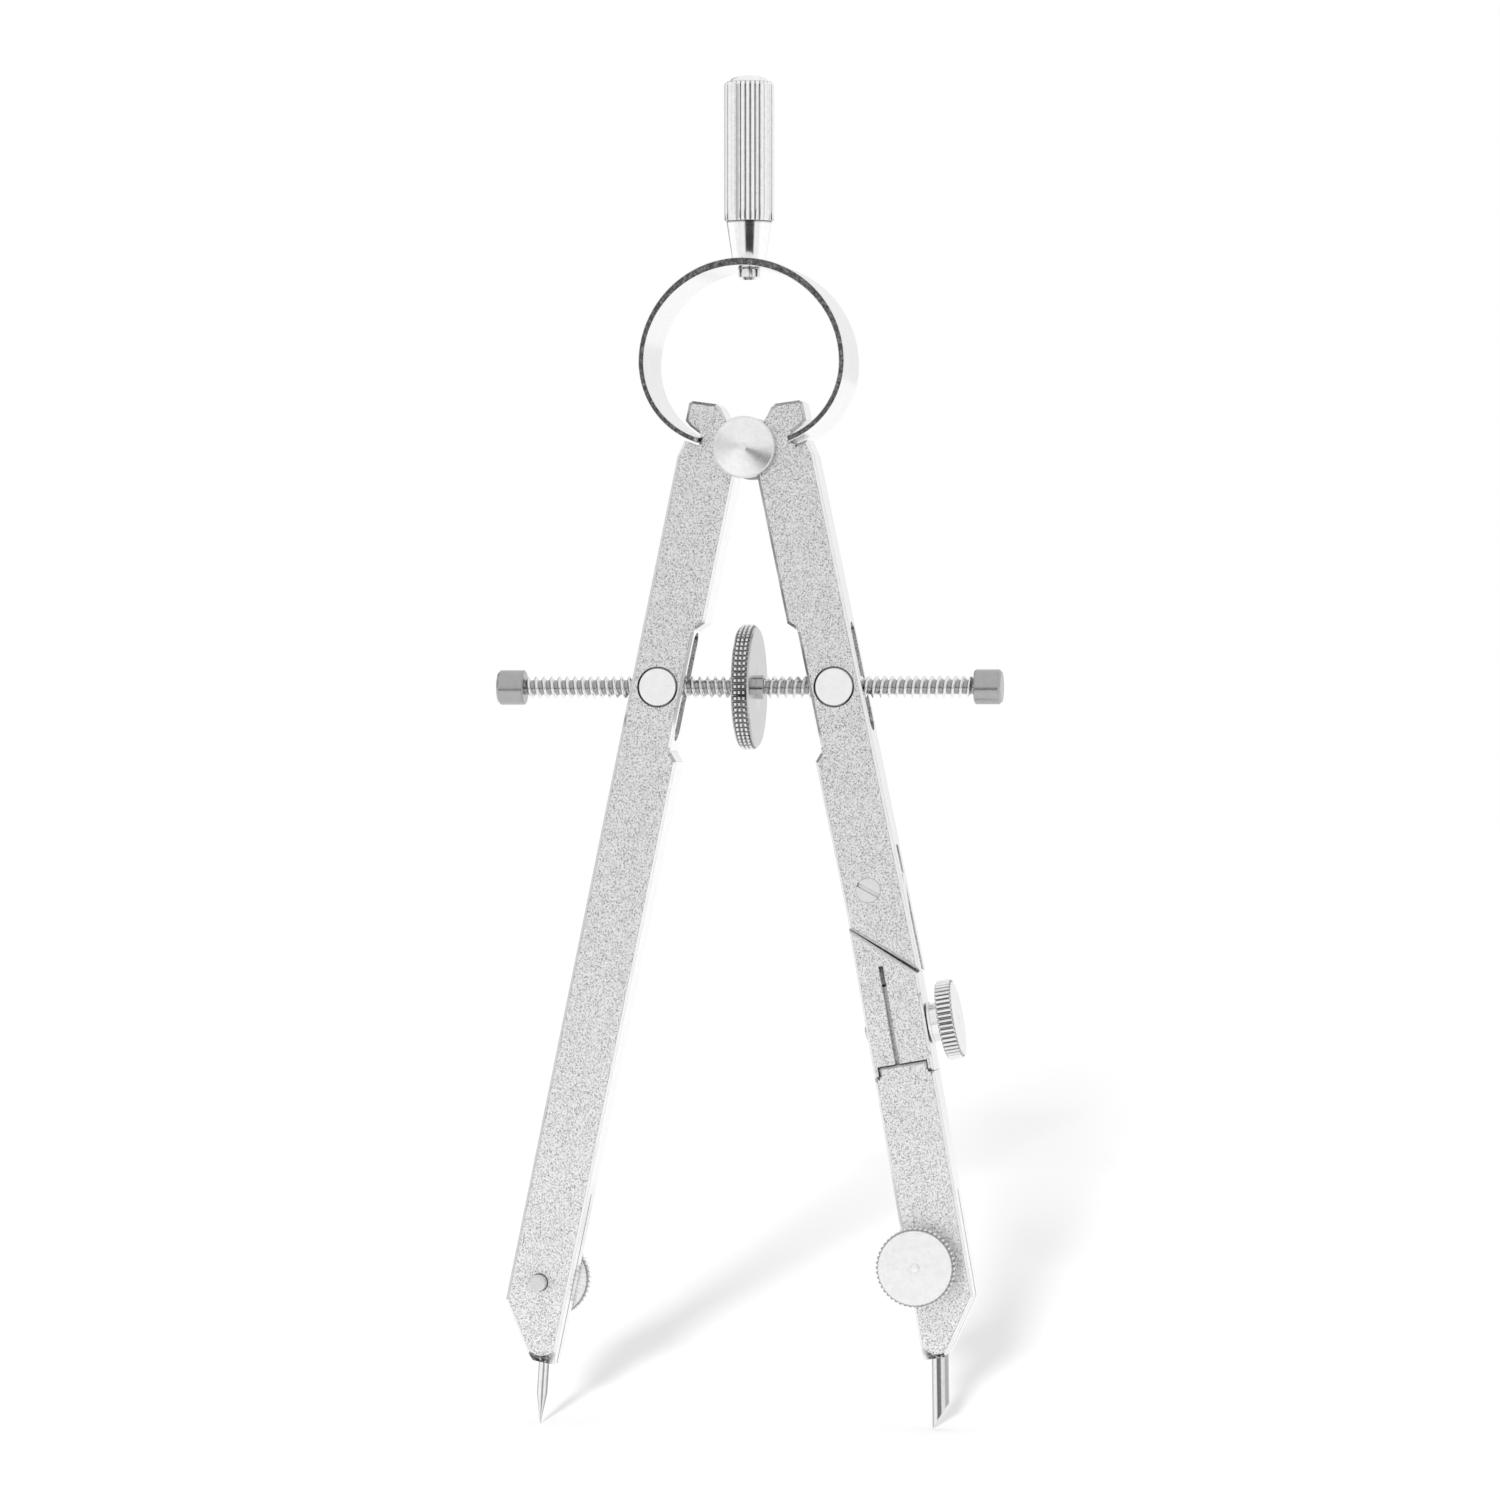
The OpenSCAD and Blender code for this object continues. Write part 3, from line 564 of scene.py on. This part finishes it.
def build_wheel():
    """A disc on a hub, with rows of small pyramids round its rim."""
    lo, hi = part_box("centre_wheel")
    r = (hi.z - lo.z) / 2
    half, hub_half, hub_r = 1.05 * MM, (hi.x - lo.x) / 2, 1.42 * MM
    teeth, tooth_depth, row_pitch = 66, 0.27 * MM, 0.5 * MM
    rim = half - 0.22 * MM
    rim_crown = 0.05 * MM

    def knurl(angle, height):
        across = ridge(angle / TAU * teeth, 0.36)
        along = ridge(np.full_like(angle, height / row_pitch), 0.5)
        return tooth_depth * np.maximum(across, 0.75 * along)

    barrel = [(z, r - rim_crown * (z / rim) ** 2, 1.0) for z in spread(-rim, rim, 33)]
    face = [(hub_half, 1.25 * MM), (hub_half - 0.12 * MM, hub_r), (half + 0.01 * MM, hub_r),
            (half, hub_r + 0.05 * MM), (half, 3.0 * MM), (half, 5.5 * MM), (half, r - 0.52 * MM),
            (half - 0.05 * MM, r - 0.46 * MM), (rim + 0.02 * MM, r - 0.3 * MM)]
    profile = [(-z, radius, 0.0) for z, radius in face] + barrel
    profile += [(z, radius, 0.0) for z, radius in reversed(face)]
    place = Matrix.Translation(screw_at) @ axes_along((1, 0, 0))
    # painted shade in the knurl valleys and a painted highlight on the crests
    mat = turned("wheel_nickel", screw_at, (1, 0, 0), 0.58, 0.14, r,
                 [(0.955, 1.0), (0.963, 0.2), (0.974, 0.4), (0.984, 1.5)], 0.06)
    wheel = lathe("wheel_knurled", profile, teeth * 10, place, mat, knurl, 30)
    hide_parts("centre_wheel")
    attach(wheel, "adjusting_screw")


def build_knob(body):
    """A turned knob: collar, toothed disc with bevelled rims and a small turned ring on its face."""
    node = body + "_knob"
    joint = JOINTS[body + "_turn"]
    axis = Vector(joint["axis"]).normalized()
    base = Vector(joint["pos_m"])
    if abs(axis.y) > 0.9:
        lo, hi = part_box(node)
        base.y = lo.y if axis.y > 0 else hi.y
    teeth, tooth_depth, chamfer = 48, 0.3 * MM, 0.22 * MM
    collar, thick, r = 1.5 * MM, 1.95 * MM, 4.7 * MM
    top = collar + thick
    lower, upper = collar + chamfer, top - chamfer

    def tooth(angle, height):
        return tooth_depth * ridge(angle / TAU * teeth, 0.3)

    foot = [(0.0, 1.1 * MM), (0.0, 2.35 * MM), (0.12 * MM, 2.48 * MM), (0.35 * MM, 2.5 * MM),
            (0.42 * MM, 2.28 * MM), (collar - 0.25 * MM, 2.28 * MM), (collar - 0.05 * MM, 2.45 * MM),
            (collar, 2.7 * MM), (collar, r - 0.45 * MM)]
    face = [(top, r - 0.42 * MM), (top, 3.0 * MM), (top, 0.74 * MM), (top - 0.03 * MM, 0.7 * MM),
            (top - 0.14 * MM, 0.68 * MM), (top - 0.14 * MM, 0.56 * MM), (top - 0.02 * MM, 0.5 * MM),
            (top, 0.4 * MM)]
    profile = [(z, radius, 0.0) for z, radius in foot]
    profile += [(collar + 0.02 * MM, r - 0.3 * MM, 0.5), (lower, r, 1.0)]
    profile += [(z, r, 1.0) for z in spread(lower + 0.02 * MM, upper - 0.02 * MM, 6)]
    profile += [(upper, r, 1.0), (top - 0.12 * MM, r - 0.2 * MM, 0.9)]
    profile += [(z, radius, 0.0) for z, radius in face]
    place = Matrix.Translation(base) @ axes_along(axis)
    # painted shade at the bottoms of the teeth
    mat = turned(node + "_nickel", base, tuple(axis), 0.93, 0.2, r,
                 [(0.915, 1.0), (0.935, 0.35), (0.955, 0.4), (0.985, 1.0)], 0.1)
    knob = lathe(node + "_knurled", profile, teeth * 10, place, mat, tooth, 22)
    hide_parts(node)
    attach(knob, body)


build_wheel()
for clamp in ("socket_clamp", "lead_clamp", "needle_clamp"):
    build_knob(clamp)


# ---------------------------------------------------------------- stage, light and camera

def build_floor():
    """Pale paper, which ends a little in front of the compass."""
    size, front, clearance = 6.0, 0.22, 0.05 * MM
    corners = [(-size, -front, 0), (size, -front, 0), (size, size, 0), (-size, size, 0)]
    mesh = bpy.data.meshes.new("floor")
    mesh.from_pydata(corners, [], [(0, 1, 2, 3)])
    floor = bpy.data.objects.new("floor", mesh)
    bpy.context.scene.collection.objects.link(floor)
    floor.location.z = CAD_BOX[0].z - clearance
    s = Shader("floor_paper", metallic=0.0, roughness=0.9)
    s.bsdf.inputs["Specular IOR Level"].default_value = 0.0
    s.set("Base Color", s.ramp(s.noise(3.0, 2.0), (0.3, 0.925), (0.7, 0.935)))
    mesh.materials.append(s.mat)
    return floor


# gaps between the cards: azimuth from the front toward +X and elevation, both in degrees, how many
# times higher than wide, the inner and outer edge in degrees from the middle, and the light left
GAPS = [(12, -18, 0.55, 20, 28, 0.05), (14, 2, 1.5, 3, 7, 0.3), (58, 6, 2.4, 3, 8, 0.45),
        (-46, 6, 2.4, 3, 8, 0.5), (112, 6, 2.4, 4, 10, 0.5), (-108, 6, 2.4, 4, 10, 0.5),
        (-146, 4, 2.4, 10, 22, 0.4), (132, -14, 0.8, 14, 26, 0.3)]
CARD_LIGHT = 0.92
LIGHT_ON_PAPER = 0.84
BACKDROP = 1.0


def build_world():
    """Studio surroundings: white card nearly all round, a dark gap low at the front and some
    smaller grey gaps between the cards, so that polished metal has something dark to show. The
    backdrop itself is plain white."""
    world = bpy.data.worlds.new("studio")
    bpy.context.scene.world = world
    world.use_nodes = True
    tree = world.node_tree
    tree.nodes.clear()
    link = tree.links.new
    out = tree.nodes.new("ShaderNodeOutputWorld")
    bg = tree.nodes.new("ShaderNodeBackground")
    coord = tree.nodes.new("ShaderNodeTexCoord")

    def node(kind, operation):
        n = tree.nodes.new(kind)
        n.operation = operation
        return n

    def gap(azimuth, elevation, tall, inner, outer, dark):
        """The share of the light that one soft-edged gap leaves in each direction."""
        squash = node("ShaderNodeVectorMath", "MULTIPLY")
        squash.inputs[1].default_value = (1.0, 1.0, 1.0 / tall)
        unit = node("ShaderNodeVectorMath", "NORMALIZE")
        dot = node("ShaderNodeVectorMath", "DOT_PRODUCT")
        az, el = math.radians(azimuth), math.radians(elevation)
        aim = Vector((math.sin(az) * math.cos(el), -math.cos(az) * math.cos(el), math.sin(el) / tall))
        dot.inputs[1].default_value = aim.normalized()
        edge = tree.nodes.new("ShaderNodeMapRange")
        edge.interpolation_type = "SMOOTHSTEP"
        edge.inputs["From Min"].default_value = math.cos(math.radians(outer))
        edge.inputs["From Max"].default_value = math.cos(math.radians(inner))
        edge.inputs["To Min"].default_value = 1.0
        edge.inputs["To Max"].default_value = dark
        link(coord.outputs["Generated"], squash.inputs[0])
        link(squash.outputs[0], unit.inputs[0])
        link(unit.outputs[0], dot.inputs[0])
        link(dot.outputs["Value"], edge.inputs["Value"])
        return edge.outputs["Result"]

    def times(a, b):
        n = node("ShaderNodeMath", "MULTIPLY")
        link(a, n.inputs[0])
        if isinstance(b, float):
            n.inputs[1].default_value = b
        else:
            link(b, n.inputs[1])
        return n.outputs[0]

    gaps = [gap(*values) for values in GAPS]
    total = gaps[0]
    for extra in gaps[1:]:
        total = times(total, extra)
    light = times(total, CARD_LIGHT)
    path = tree.nodes.new("ShaderNodeLightPath")
    for ray, value in (("Is Diffuse Ray", LIGHT_ON_PAPER), ("Is Camera Ray", BACKDROP)):
        mix = tree.nodes.new("ShaderNodeMix")
        mix.data_type = "FLOAT"
        mix.inputs[3].default_value = value
        link(path.outputs[ray], mix.inputs[0])
        link(light, mix.inputs[2])
        light = mix.outputs[0]
    link(light, bg.inputs["Strength"])
    bg.inputs["Color"].default_value = (1.0, 1.0, 1.0, 1.0)
    link(bg.outputs["Background"], out.inputs["Surface"])


def build_key(floor):
    """A low soft sun from in front, which lights only the floor and so makes the long shadows."""
    came_from = Vector((0.08, -1.0, 0.14))
    data = bpy.data.lights.new("key", "SUN")
    data.energy = 6.4
    data.angle = math.radians(3.0)
    lamp = bpy.data.objects.new("key", data)
    lamp.location = came_from
    lamp.rotation_mode = "QUATERNION"
    lamp.rotation_quaternion = (-came_from).to_track_quat("-Z", "Y")
    bpy.context.scene.collection.objects.link(lamp)
    lit = bpy.data.collections.new("lit_by_key")
    lit.objects.link(floor)
    lamp.light_linking.receiver_collection = lit


def build_camera():
    """A level camera, a little to the right; across is how wide a view it has at the target."""
    azimuth, distance, across, sensor = math.radians(9.4), 0.85, 0.17647, 36.0
    target = Vector((0.0001, 0.0, 0.0796))
    back = Vector((math.sin(azimuth), -math.cos(azimuth), 0.0))
    data = bpy.data.cameras.new("camera")
    cam = bpy.data.objects.new("camera", data)
    bpy.context.scene.collection.objects.link(cam)
    data.sensor_width = sensor
    data.lens = sensor * distance / across
    data.clip_start, data.clip_end = 0.01, 50.0
    cam.location = target + back * distance
    cam.rotation_mode = "QUATERNION"
    cam.rotation_quaternion = (-back).to_track_quat("-Z", "Y")
    bpy.context.scene.camera = cam


floor = build_floor()
build_world()
build_key(floor)
build_camera()
scene = bpy.context.scene
scene.view_settings.view_transform = "Standard"
scene.view_settings.look = "None"
